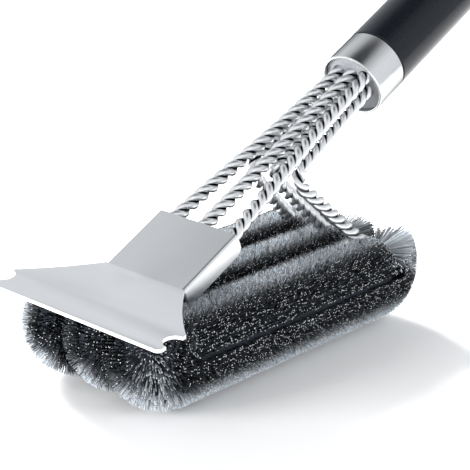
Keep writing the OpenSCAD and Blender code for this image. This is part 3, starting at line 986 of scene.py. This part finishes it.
@dataclass(frozen=True)
class BristleRows:
    """The filaments held between the wires of each stem."""

    stems: StemSet
    reach: float = 17.6
    spread: float = 0.5
    lean: float = 0.12
    root_out: float = 0.9
    root_thickness: float = 0.06
    tip_thickness: float = 0.12
    # Filaments above bright_tone get painted glints on their ends, which are this thick.
    bright_thickness: float = 0.20
    bright_tone: float = 0.8
    lines: int = 104
    stray: float = math.radians(0.6)
    bend_density: float = 1.0
    rear_density: float = 1.7
    bend_step: float = 0.34
    row_step: float = 0.72
    bend_scatter: float = 0.02
    row_scatter: float = 0.06
    # Width and strength of the painted shade in the valleys between rows
    valley: float = 7.0
    valley_shade: float = 0.5
    # The rear fan's painted light: where it starts, its direction, blend, rise and the tone it lifts
    # filaments to
    open_fan: float = math.radians(52)
    open_way: tuple[float, float, float] = (0.6, 0.0, 0.8)
    open_blend: float = 0.35
    open_rise: tuple[float, float] = (-0.2, 1 / 3)
    open_tone: tuple[float, float] = (0.35, 0.6)
    # Degrees from the top of a row down each flank, and half the width of the gap
    partings: tuple[tuple[float, float], ...] = ((73.0, 3.6), (59.0, 1.4))
    front_fan: float = math.radians(20)
    rear_fan: float = math.radians(118)
    per_piece: int = 25000
    pieces: int = 2
    clearance: float = 0.25
    least_share: float = 0.22
    slack: tuple[float, float] = (-0.4, 1.2)
    probes: int = 28
    # Painted light on the sides of filaments that point up, down or out at the ends: the share, where it
    # starts and over how much it rises, in parts of a direction
    top_glow: tuple[tuple[float, float, float], ...] = ((0.27, 0.78, 0.18), (0.63, 0.91, 0.07))
    below_glow: tuple[float, float] = (0.2, 0.35)
    end_glow: tuple[float, float, float] = (0.85, 0.25, 0.3)
    end_across: tuple[float, float] = (0.2, 0.3)
    fanned: tuple[float, float] = (0.15, 0.3)
    fanned_thicker: float = 0.8
    least_painted_light: float = 0.16
    least_gleam: float = 0.12
    # The power that makes most filaments darker at random, and how much less of it where painted light falls
    gleam_power: tuple[float, float] = (1.1, 0.8)
    core_depth: float = 3.2
    core_back: float = 8.0
    core_slope: tuple[float, float, float] = (0.6, 0.0, 1.0)
    seed: int = 11

    def places(self, path: FilletedPath, rng: np.random.Generator) -> tuple[np.ndarray, float]:
        """Draws where along a stem the filaments stand.

        Args:
            path: The stem's centre line.
            rng: The source of random numbers.

        Returns:
            The distances along the path, and the distance at which the rear bend starts.
        """
        front = path.bend_at[self.stems.front_corner][1]
        rear = path.bend_at[self.stems.rear_corner_number][0]
        start = path.bend_at[self.stems.front_corner][0] - self.stems.bend_radius * self.front_fan
        end = rear + self.stems.bend_radius * self.rear_fan
        marks = np.array([start, front, rear, end])
        loads = [0, (front - start) * self.bend_density, rear - front, (end - rear) * self.rear_density]
        share = np.cumsum(loads)
        count = self.per_piece
        s = np.interp((np.arange(count) + rng.random(count)) / count * share[-1], share, marks)
        bend = (s < front) | (s > rear)
        step = np.where(bend, self.bend_step, self.row_step)
        scatter = np.where(bend, self.bend_scatter, self.row_scatter)
        return np.round(s / step) * step + rng.normal(0, 1, count) * scatter, rear

    def filaments(self, row: Row, rng: np.random.Generator) -> tuple[np.ndarray, np.ndarray, np.ndarray]:
        """Draws the filaments of one piece of a row.

        Args:
            row: The row.
            rng: The source of random numbers.

        Returns:
            Their roots, their tips, and from 0 to 1 how openly each stands in the rear fan, which is used as
            painted light.
        """
        path = self.stems.path(row)
        s, rear = self.places(path, rng)
        centre, way = path.sample(s)
        across, up = cross_section(way)
        angle = self.angles(rng)
        out = np.cos(angle)[:, None] * across + np.sin(angle)[:, None] * up
        length = self.reach - self.spread * rng.random(len(s)) ** 2
        lean = rng.normal(0, self.lean, (len(s), 2))
        tip = centre + length[:, None] * out + lean[:, :1] * way + lean[:, 1:] * np.cross(way, out)
        over = self.reach / np.maximum(np.linalg.norm(tip - centre, axis=1), self.reach)
        tip = centre + (tip - centre) * over[:, None]
        turned = (s - rear) / self.stems.bend_radius
        outward = np.sum(out * unit(np.array(self.open_way)), axis=1)
        light = ease(turned, self.open_fan, self.open_blend) * ease(outward, *self.open_rise)
        return centre + self.root_out * out, tip, light

    def angles(self, rng: np.random.Generator) -> np.ndarray:
        """Draws the angles round the stem: in lengthwise lines, with partings between some of them.

        Args:
            rng: The source of random numbers.

        Returns:
            The angles in radians, from the direction across the brush.
        """
        line = rng.integers(0, self.lines, self.per_piece)
        angle = line * 2 * np.pi / self.lines + rng.normal(0, self.stray, self.per_piece)
        from_top = (np.degrees(angle) - 90.0 + 180.0) % 360.0 - 180.0
        flank = np.where(from_top >= 0, 1.0, -1.0)
        for middle, half in self.partings:
            off = np.abs(from_top) - middle
            push = flank * np.where(off >= 0, half, -half)
            angle = np.where(np.abs(off) < half, angle + np.radians(push), angle)
        return angle

    def trimmed(self, row: Row, root: np.ndarray, tip: np.ndarray, rng: np.random.Generator) -> np.ndarray:
        """Trims the filaments at the next row, the floor and the scraper.

        Args:
            row: The row.
            root: The roots of its filaments.
            tip: Their tips.
            rng: The source of random numbers.

        Returns:
            The share of each filament's length that is free.
        """
        tiny, floor_gap, above_floor, shortest, back = 1e-6, 0.05, 0.997, 0.1, 0.03
        share = np.ones(len(root))
        y0, y1 = root[:, 1], tip[:, 1]
        least, most = self.slack
        slack = rng.random(len(root)) * (most - least) + least
        for sign in (-1, 1):
            if row.value == sign:
                continue
            limit = row.value * self.stems.row_pitch + sign * (self.stems.row_pitch / 2 + slack)
            over = sign * (y1 - limit) > 0
            cut = (limit - y0) / np.where(np.abs(y1 - y0) < tiny, tiny, y1 - y0)
            share = np.where(over, np.minimum(share, np.clip(cut, 0, 1)), share)
        fall = root[:, 2] - tip[:, 2]
        floor = root[:, 2] / np.where(fall > tiny, fall, np.inf)
        share = np.where(tip[:, 2] < floor_gap, np.minimum(share, floor * above_floor), share)
        for t in np.linspace(1, shortest, self.probes):
            covered = SCRAPER.covers(root + t * (tip - root), self.clearance)
            share = np.where((t <= share) & covered, t - back, share)
        return share

    def lit(self, way: np.ndarray) -> np.ndarray:
        """Gives the painted light on the sides of filaments: on top of a row, underneath and at its ends.

        Args:
            way: The filaments' directions.

        Returns:
            The brightness from 0 to 1.
        """
        x, y, z = np.abs(way[:, 0]), np.abs(way[:, 1]), way[:, 2]
        top = sum(part * ease(z, start, width) for part, start, width in self.top_glow)
        below = ease(-z, *self.below_glow)
        end = self.end_glow[0] * ease(x, *self.end_glow[1:]) * ease(y, *self.end_across)
        return np.maximum(np.maximum(top, below), end)

    def open_side(self, row: Row, tip: np.ndarray) -> np.ndarray:
        """Says how far tips are from the valley between two rows, which sets the painted shade in the valleys
        and keeps painted light out of them.

        Args:
            row: The row.
            tip: The tips of its filaments.

        Returns:
            0 in the valley to 1 outside it.
        """
        across = tip[:, 1] - row.value * self.stems.row_pitch
        clear = np.ones(len(tip))
        for sign in (-1, 1):
            if row.value != sign:
                room = self.stems.row_pitch / 2 - sign * across
                clear = np.minimum(clear, np.clip(room / self.valley, 0, 1))
        return clear

    def prisms(
        self, name: str, root: np.ndarray, tip: np.ndarray, turn: np.ndarray, thickness: np.ndarray
    ) -> bpy.types.Object:
        """Builds three-sided filaments as one mesh, with their ends in the second material.

        Args:
            name: Name of the piece.
            root: The roots of the filaments.
            tip: Their tips.
            turn: The turn of each filament about its own axis.
            thickness: The radius of each at its tip.

        Returns:
            The piece.
        """
        way = unit(tip - root)
        lengthwise = np.abs(way[:, :1]) >= 0.8
        side = unit(np.cross(way, np.where(lengthwise, [[0, 1.0, 0]], [[1.0, 0, 0]])))
        other = np.cross(way, side)
        angle = turn[:, None] + np.arange(3) * 2 * np.pi / 3
        ring = np.cos(angle)[..., None] * side[:, None] + np.sin(angle)[..., None] * other[:, None]
        lower = root[:, None] + ring * self.root_thickness
        upper = tip[:, None] + ring * thickness[:, None, None]
        points = np.concatenate([lower, upper], axis=1).reshape(-1, 3)
        pattern = np.array([[0, 1, 4], [0, 4, 3], [1, 2, 5], [1, 5, 4], [2, 0, 3], [2, 3, 5], [3, 4, 5]])
        faces = (np.arange(len(root))[:, None, None] * 6 + pattern).reshape(-1, 3)
        obj = mesh_object(name, LAYOUT.to_frame(points), faces, smooth=False)
        cap = np.tile(np.arange(len(pattern)) == len(pattern) - 1, len(root))
        obj.data.polygons.foreach_set("material_index", cap.astype(np.int32))
        return obj

    def piece(self, row: Row, number: int) -> bpy.types.Object:
        """Builds one piece of a row: thousands of filaments, each with its own random tone and its painted
        light and shade.

        Args:
            row: The row.
            number: Which of its pieces, from 0.

        Returns:
            The piece.
        """
        rng = np.random.default_rng(self.seed + 10 * number + row.value)
        root, tip, light = self.filaments(row, rng)
        share = self.trimmed(row, root, tip, rng)
        keep = share > self.least_share
        root, tip, share, light = root[keep], tip[keep], share[keep], light[keep]
        tip = root + share[:, None] * (tip - root)
        count = len(root)
        way = unit(tip - root)
        clear = self.open_side(row, tip)
        # Painted light on the sides, kept out of the valleys between rows.
        lit = self.lit(way) * clear
        turn = rng.random(count) * 2 * np.pi
        # Painted light in the open rear fan lifts the tone, and with it the painted glints on the ends.
        dim, more = self.open_tone
        tone = np.maximum(rng.random(count), light * (dim + more * rng.random(count)))
        fanned = self.tip_thickness * (1 + self.fanned_thicker * ease(np.abs(way[:, 0]), *self.fanned))
        # Filaments with painted glints on their ends get thicker ends.
        thickness = np.where(tone > self.bright_tone, self.bright_thickness, fanned)
        obj = self.prisms(f"{row.name.lower()}_filaments_{number + 1}", root, tip, turn, thickness)
        # Painted light: lit filaments and the open rear fan are bright along more of their length.
        low = np.maximum(0.95 * lit, light * 0.97)
        attach(obj, "reach", np.stack([low] * 3 + [np.maximum(share, low)] * 3, axis=1))
        # Painted light on lit sides and in the open rear fan, times a random tone, less the painted shade in
        # the valleys.
        painted_light_share = self.least_painted_light + (1 - self.least_painted_light) * np.maximum(lit, light)
        power, less = self.gleam_power
        own = self.least_gleam + (1 - self.least_gleam) * rng.random(count) ** (power - less * lit)
        painted_light_times_tone = painted_light_share * own * (1 - self.valley_shade * (1 - clear))
        attach(obj, "painted_light_and_tone", np.repeat(painted_light_times_tone, 6))
        attach(obj, "tone", np.repeat(tone, 6))
        return obj

    def core(self, row: Row, material: bpy.types.Material) -> None:
        """Builds a near-black body inside a row, painted shade that stands in for the shade deep among the
        filaments: its solid drawn in, cut away under the open rear fan.

        Args:
            row: The row.
            material: The material of the painted shade.
        """
        node = f"{row.name.lower()}_bristles"
        obj = link_mesh(f"{row.name.lower()}_dense_core", frame["nodes"][node].data.copy())
        obj.data.materials.clear()
        activate(obj)
        bpy.ops.object.mode_set(mode="EDIT")
        bpy.ops.mesh.select_all(action="SELECT")
        bpy.ops.mesh.remove_doubles(threshold=MERGE)
        bpy.ops.transform.shrink_fatten(value=-self.core_depth * MM)
        bpy.ops.mesh.select_all(action="SELECT")
        x, z = self.stems.rear_corner - self.core_back, self.stems.row_height + self.stems.bend_radius
        plane = tuple(LAYOUT.to_frame(np.array([x, 0, z])))
        bpy.ops.mesh.bisect(plane_co=plane, plane_no=self.core_slope, use_fill=True, clear_outer=True)
        bpy.ops.object.mode_set(mode="OBJECT")
        register(obj, material, [node])

    def build(self, look: Look) -> None:
        """Builds all three rows.

        Args:
            look: The brush's materials by name.
        """
        sides = look["bristle_filaments"]
        for row in Row:
            self.core(row, look["bristle_shade"])
            for number in range(self.pieces):
                obj = self.piece(row, number)
                obj.data.materials.append(sides)
                obj.data.materials.append(look["cut_tips"])
                register(obj, sides, [f"{row.name.lower()}_bristles"])


# -------------------------------------------------------------------------------------------- scraper


@dataclass(frozen=True)
class Scraper:
    """The folded steel sheet: a blade with flared sides in front and a channel over the stems."""

    sheet: float = 1.3
    channel_width: float = 37.6
    flange_depth: float = 8.0
    edge: float = 0.3
    head_room: float = 1.0
    behind_fold: float = 3.0
    # Distance in front of the fold, and half the blade's width there
    flare: tuple[tuple[float, float], ...] = (
        (0, 18.8), (5.7, 23.4), (11.5, 28.1), (16.8, 33), (21.8, 38), (24.2, 40.7), (38, 40.7),
    )

    def covers(self, points: np.ndarray, gap: float) -> np.ndarray:
        """Says which points the scraper leaves no room for.

        Args:
            points: The points, with the fold at X = 0.
            gap: Distance to keep from the sheet.

        Returns:
            True for each point in, just above or too close to the sheet.
        """
        c, n = math.cos(LAYOUT.blade_drop), math.sin(LAYOUT.blade_drop)
        z = points[:, 2] - LAYOUT.fold_height
        forward = -points[:, 0] * c - z * n
        above = -points[:, 0] * n + z * c
        half = np.interp(forward, *zip(*self.flare))
        blade = (above > -self.sheet - gap) & (above < self.head_room)
        blade &= (forward > -self.behind_fold) & (forward < LAYOUT.blade_length + gap)
        blade &= np.abs(points[:, 1]) < half + gap
        c, n = math.cos(LAYOUT.handle_tilt), math.sin(LAYOUT.handle_tilt)
        along = points[:, 0] * c + z * n
        high = -points[:, 0] * n + z * c
        channel = (along > -gap) & (along < LAYOUT.channel_length + gap) & (high > -self.flange_depth - gap)
        channel &= np.abs(points[:, 1]) < self.channel_width / 2 + gap
        return blade | channel

    def build(self, look: Look) -> None:
        """Builds the scraper and the plate that closes its channel.

        Args:
            look: The brush's materials by name.
        """
        obj = refined_copy("scraper", "folded_scraper", self.edge, 3)
        for name in ("blade_sheet", "slope_sheet_painted_shade", "cut_edge"):
            obj.data.materials.append(look[name])
        self.paint(obj)
        register(obj, look["blade_sheet"], ["scraper"])
        plate = refined_copy("clamp_plate", "channel_plate", self.edge, 2)
        # The plate gets the darker copy of the sheet steel too, painted shade.
        register(plate, look["slope_sheet_painted_shade"], ["clamp_plate"])

    def paint(self, obj: bpy.types.Object) -> None:
        """Gives the cut edges their own finish and the faces that slope with the handle a darker copy of the
        sheet steel as painted shade, by their normals.

        Args:
            obj: The scraper, with the materials of its sheet, its slope's painted shade and its cut edges.
        """
        facing, fold_width = 0.75, 0.3 * MM
        blade_up = Vector((math.sin(LAYOUT.blade_drop), 0, math.cos(LAYOUT.blade_drop)))
        slope_up = Vector((-math.sin(LAYOUT.handle_tilt), 0, math.cos(LAYOUT.handle_tilt)))
        fold_x = LAYOUT.fold_x * MM
        for face in obj.data.polygons:
            if face.center.x < fold_x - fold_width:
                face.material_index = 0 if abs(face.normal.dot(blade_up)) > facing else 2
            elif abs(face.normal.dot(slope_up)) > facing:
                face.material_index = 1
            else:
                face.material_index = 0 if abs(face.normal.y) > facing else 2


SCRAPER = Scraper()


# --------------------------------------------------------------------------------------------- handle


@dataclass(frozen=True)
class Handle:
    """The round handle with its steel sleeves and the parts inside them, along its own axis."""

    radius: float = 14.0
    wall: float = 1.1
    ferrule_length: float = 16.5
    seam: float = 0.6
    grip_length: float = 240.0
    bore: float = 11.0
    spigot: float = 12.8
    mouth_depth: float = 2.0
    face: float = 2.8
    cap_length: float = 18.0
    cap_round: float = 3.0
    cap_spigot: float = 12.0
    shank_hole: float = 2.1
    lip: float = 0.45
    joint: float = 0.1

    @property
    def grip_start(self) -> float:
        """Distance of the grip's front face from the mouth."""
        return self.ferrule_length + self.seam

    @property
    def grip_end(self) -> float:
        """Distance of the grip's rear face from the mouth."""
        return self.grip_start + self.grip_length

    def ferrule(self) -> bpy.types.Object:
        """Turns the front sleeve, with a rolled lip."""
        inner, outer, length = self.radius - self.wall, self.radius, self.ferrule_length
        corners = [
            (0, inner, 0.3),
            (length, inner, 0.1),
            (length, outer, 0.25),
            (self.lip, outer, 0.3),
            (0, outer - self.lip, 0.3),
        ]
        profile = rounded(corners, 5)
        return lathe("front_sleeve", profile)

    def grip(self) -> bpy.types.Object:
        """Turns the grip with its two spigots."""
        a, b, r = self.grip_start, self.grip_end, self.radius
        front = self.mouth_depth + self.face + self.joint
        profile = rounded(
            [
                (front, self.bore, 0),
                (front, self.spigot, 0),
                (a, self.spigot, 0),
                (a, r, 0.6),
                (b, r, 0.6),
                (b, self.spigot, 0),
                (b + self.cap_spigot, self.spigot, 0),
                (b + self.cap_spigot, self.bore, 0),
            ],
            6,
        )
        return lathe("grip_tube", profile)

    def cap(self) -> bpy.types.Object:
        """Turns the rear cap round the eye's shank."""
        start = self.grip_end + self.seam
        end = start + self.cap_length
        inner, hole = self.radius - self.wall, self.shank_hole
        profile = rounded(
            [
                (start, inner, 0),
                (start, self.radius, 0.25),
                (end, self.radius, self.cap_round),
                (end, hole, 0.3),
                (end - self.cap_round, hole, 0),
                (end - self.cap_round, inner, 0),
            ],
            8,
        )
        return lathe("rear_sleeve", profile)

    def build(self, look: Look) -> None:
        """Builds the handle's pieces and dresses the inner nodes.

        Args:
            look: The brush's materials by name.
        """
        for obj, node, slot, name in (
            (self.ferrule(), "ferrule", "sleeve_steel", "sleeve_steel"),
            (self.grip(), "grip", "grip_plastic", "grip_black"),
            (self.cap(), "end_cap", "sleeve_steel", "sleeve_steel"),
        ):
            smooth_by_angle(obj, 30)
            register(obj, look[name], [node])
        ring = refined_copy("seam_ring", "seam_band", 0.1, 2)
        register(ring, look["seam_black"], ["seam_ring"])
        block = refined_copy("stem_block", "mouth_plug", 0.3, 2)
        register(block, look["plug_grey"], ["stem_block"])
        dress_node("end_plug", look["plug_grey"])
        for node in ("anchor_plate", "block_pin", "eye_nut"):
            dress_node(node, look["stem_wire"])


@dataclass(frozen=True)
class HangingLoop:
    """The eye in the rear cap and the wire loop that swings in it."""

    handle: Handle
    wire: float = 3.0
    width: float = 23.0
    length: float = 34.0
    corner: float = 3.0
    pivot_out: float = 5.0
    sides: int = 24
    bar_steps: int = 12
    leg_steps: int = 8
    corner_steps: int = 8
    bow_steps: int = 40

    def centre_line(self) -> np.ndarray:
        """Returns the loop's closed centre line in its own plane, with its bar on Y and its end towards X."""
        r = self.width / 2 + self.wire / 2
        c = self.corner
        straight = self.length - r
        quarter = np.linspace(0, math.pi / 2, self.corner_steps, endpoint=False)
        half = np.linspace(0, math.pi, self.bow_steps, endpoint=False)
        leg = self.leg_steps
        line: list[tuple[float, float]] = []
        line += [(0.0, y) for y in np.linspace(-(r - c), r - c, self.bar_steps, endpoint=False)]
        line += [(c - c * math.cos(a), r - c + c * math.sin(a)) for a in quarter]
        line += [(x, r) for x in np.linspace(c, straight, leg, endpoint=False)]
        line += [(straight + r * math.sin(a), r * math.cos(a)) for a in half]
        line += [(x, -r) for x in np.linspace(straight, c, leg, endpoint=False)]
        line += [(c - c * math.sin(a), -(r - c) - c * math.cos(a)) for a in quarter]
        return np.array([(x, y, 0.0) for x, y in line])

    def loop(self) -> bpy.types.Object:
        """Sweeps the loop's wire along its centre line, hanging straight down."""
        line = self.centre_line()
        way = unit(np.roll(line, -1, 0) - np.roll(line, 1, 0))
        normal = np.array([0, 0, 1.0])
        side = np.cross(way, normal)
        a = 2 * np.pi * np.arange(self.sides) / self.sides
        rim = np.cos(a)[None, :, None] * side[:, None] + np.sin(a)[None, :, None] * normal
        along = np.arange(len(line) + 1) / self.leg_steps
        obj = tube("swinging_loop", line[:, None] + self.wire / 2 * rim, along, closed=True)
        pivot = self.handle.grip_end + self.handle.seam + self.handle.cap_length + self.pivot_out
        swing = Matrix.Rotation(math.pi / 2 + LAYOUT.handle_tilt, 4, "Y")
        obj.data.transform(LAYOUT.handle_matrix() @ Matrix.Translation((pivot, 0, 0)) @ swing)
        recalculate_normals(obj)
        smooth_by_angle(obj, 60)
        return obj

    def build(self, look: Look) -> None:
        """Builds the eye and the loop.

        Args:
            look: The brush's materials by name.
        """
        register(self.loop(), look["stem_wire"], ["hang_loop"], LOOP)
        eye = refined_copy("hang_eye", "loop_eye", 0.3, 3)
        register(eye, look["stem_wire"], ["hang_eye"])


# --------------------------------------------------------------------------------------------- studio


@dataclass(frozen=True)
class Softbox:
    """One rectangular light that points at the brush."""

    name: str
    place: tuple[float, float, float]
    size: tuple[float, float]
    power: float
    target: tuple[float, float, float] = (-0.06, 0.0, 0.04)

    def build(self) -> bpy.types.Object:
        """Adds the light."""
        data = bpy.data.lights.new(self.name, "AREA")
        data.shape = "RECTANGLE"
        data.size, data.size_y = self.size
        data.energy = self.power
        light = bpy.data.objects.new(self.name, data)
        light.visible_glossy = False
        bpy.context.scene.collection.objects.link(light)
        light.location = self.place
        way = Vector(self.target) - Vector(self.place)
        light.rotation_euler = way.to_track_quat("-Z", "Y").to_euler()
        return light


@dataclass(frozen=True)
class Studio:
    """Floor, world, lights and camera."""

    eye: tuple[float, float, float] = (-391.02, -348.88, 240.30)
    yaw: float = math.radians(39.435)
    pitch: float = math.radians(18.341)
    roll: float = math.radians(3.287)
    focal: float = 120.93
    shift: tuple[float, float] = (0.0574, -0.0574)
    floor_size: float = 8.0
    floor_drop: float = 0.0002
    sky_tint: tuple[float, float, float] = (0.955, 0.98, 1.01)
    # Sine of the height above the horizon, and the brightness there
    sky_tones: tuple[tuple[float, float], ...] = ((0.0, 0.95), (0.6, 1.0), (0.86, 0.6), (0.965, 0.05))
    softboxes: tuple[Softbox, ...] = (
        Softbox("key_light", (0.3, 1.4, 0.75), (0.7, 0.5), 100.0),
        Softbox("side_light", (0.5, -1.3, 0.28), (0.6, 0.4), 16.0),
        Softbox("front_light", (-1.3, 0.4, 0.28), (0.6, 0.4), 24.0),
    )

    def camera(self) -> None:
        """Puts the camera at the viewing angle and makes it the scene's."""
        data = bpy.data.cameras.new("camera")
        data.lens = self.focal
        data.sensor_width = 36.0
        data.shift_x, data.shift_y = self.shift
        data.clip_end = 20.0
        camera = bpy.data.objects.new("camera", data)
        bpy.context.scene.collection.objects.link(camera)
        cy, sy = math.cos(self.yaw), math.sin(self.yaw)
        cp, sp = math.cos(self.pitch), math.sin(self.pitch)
        ahead = np.array([cp * cy, cp * sy, -sp])
        right = np.array([sy, -cy, 0.0])
        up = np.cross(right, ahead)
        x = math.cos(self.roll) * right + math.sin(self.roll) * up
        y = -math.sin(self.roll) * right + math.cos(self.roll) * up
        turn = Matrix([[x[i], y[i], -ahead[i]] for i in range(3)])
        eye = Vector(LAYOUT.to_frame(np.array(self.eye)))
        camera.matrix_world = Matrix.Translation(eye) @ turn.to_4x4()
        bpy.context.scene.camera = camera

    def floor(self) -> None:
        """Adds the pale floor."""
        bpy.ops.mesh.primitive_plane_add(size=self.floor_size, location=(0, 0, -self.floor_drop))
        floor = bpy.context.object
        floor.name = "floor"
        shader = Shader("pale_floor", Roughness=0.7, Specular_IOR_Level=0.2, Base_Color=(*grey(0.93), 1))
        floor.data.materials.append(shader.material)

    def sky(self) -> None:
        """Lights the scene softly from all round."""
        world = bpy.data.worlds.new("studio")
        world.use_nodes = True
        tree = world.node_tree
        background = tree.nodes["Background"]
        way = tree.nodes.new("ShaderNodeTexCoord")
        parts = tree.nodes.new("ShaderNodeSeparateXYZ")
        ramp = tree.nodes.new("ShaderNodeValToRGB")
        set_stops(ramp, [(height, [tone * c for c in self.sky_tint]) for height, tone in self.sky_tones])
        tree.links.new(way.outputs["Generated"], parts.inputs["Vector"])
        tree.links.new(parts.outputs["Z"], ramp.inputs["Fac"])
        tree.links.new(ramp.outputs["Color"], background.inputs["Color"])
        bpy.context.scene.world = world

    def build(self) -> None:
        """Builds the studio."""
        deselect_all()
        self.floor()
        self.sky()
        for softbox in self.softboxes:
            softbox.build()
        self.camera()
        bpy.context.scene.view_settings.view_transform = "Standard"
        bpy.context.scene.view_settings.look = "None"


# ----------------------------------------------------------------------------------------------- main


def main() -> None:
    """Builds the brush and its studio."""
    logging.basicConfig(level=logging.INFO, format="%(name)s: %(message)s")
    look: Look = {finish.name: finish.build() for finish in FINISHES}
    stems, handle = StemSet(), Handle()
    Studio().build()
    SCRAPER.build(look)
    stems.build(look)
    BristleRows(stems).build(look)
    handle.build(look)
    HangingLoop(handle).build(look)


if __name__ == "__main__":
    main()
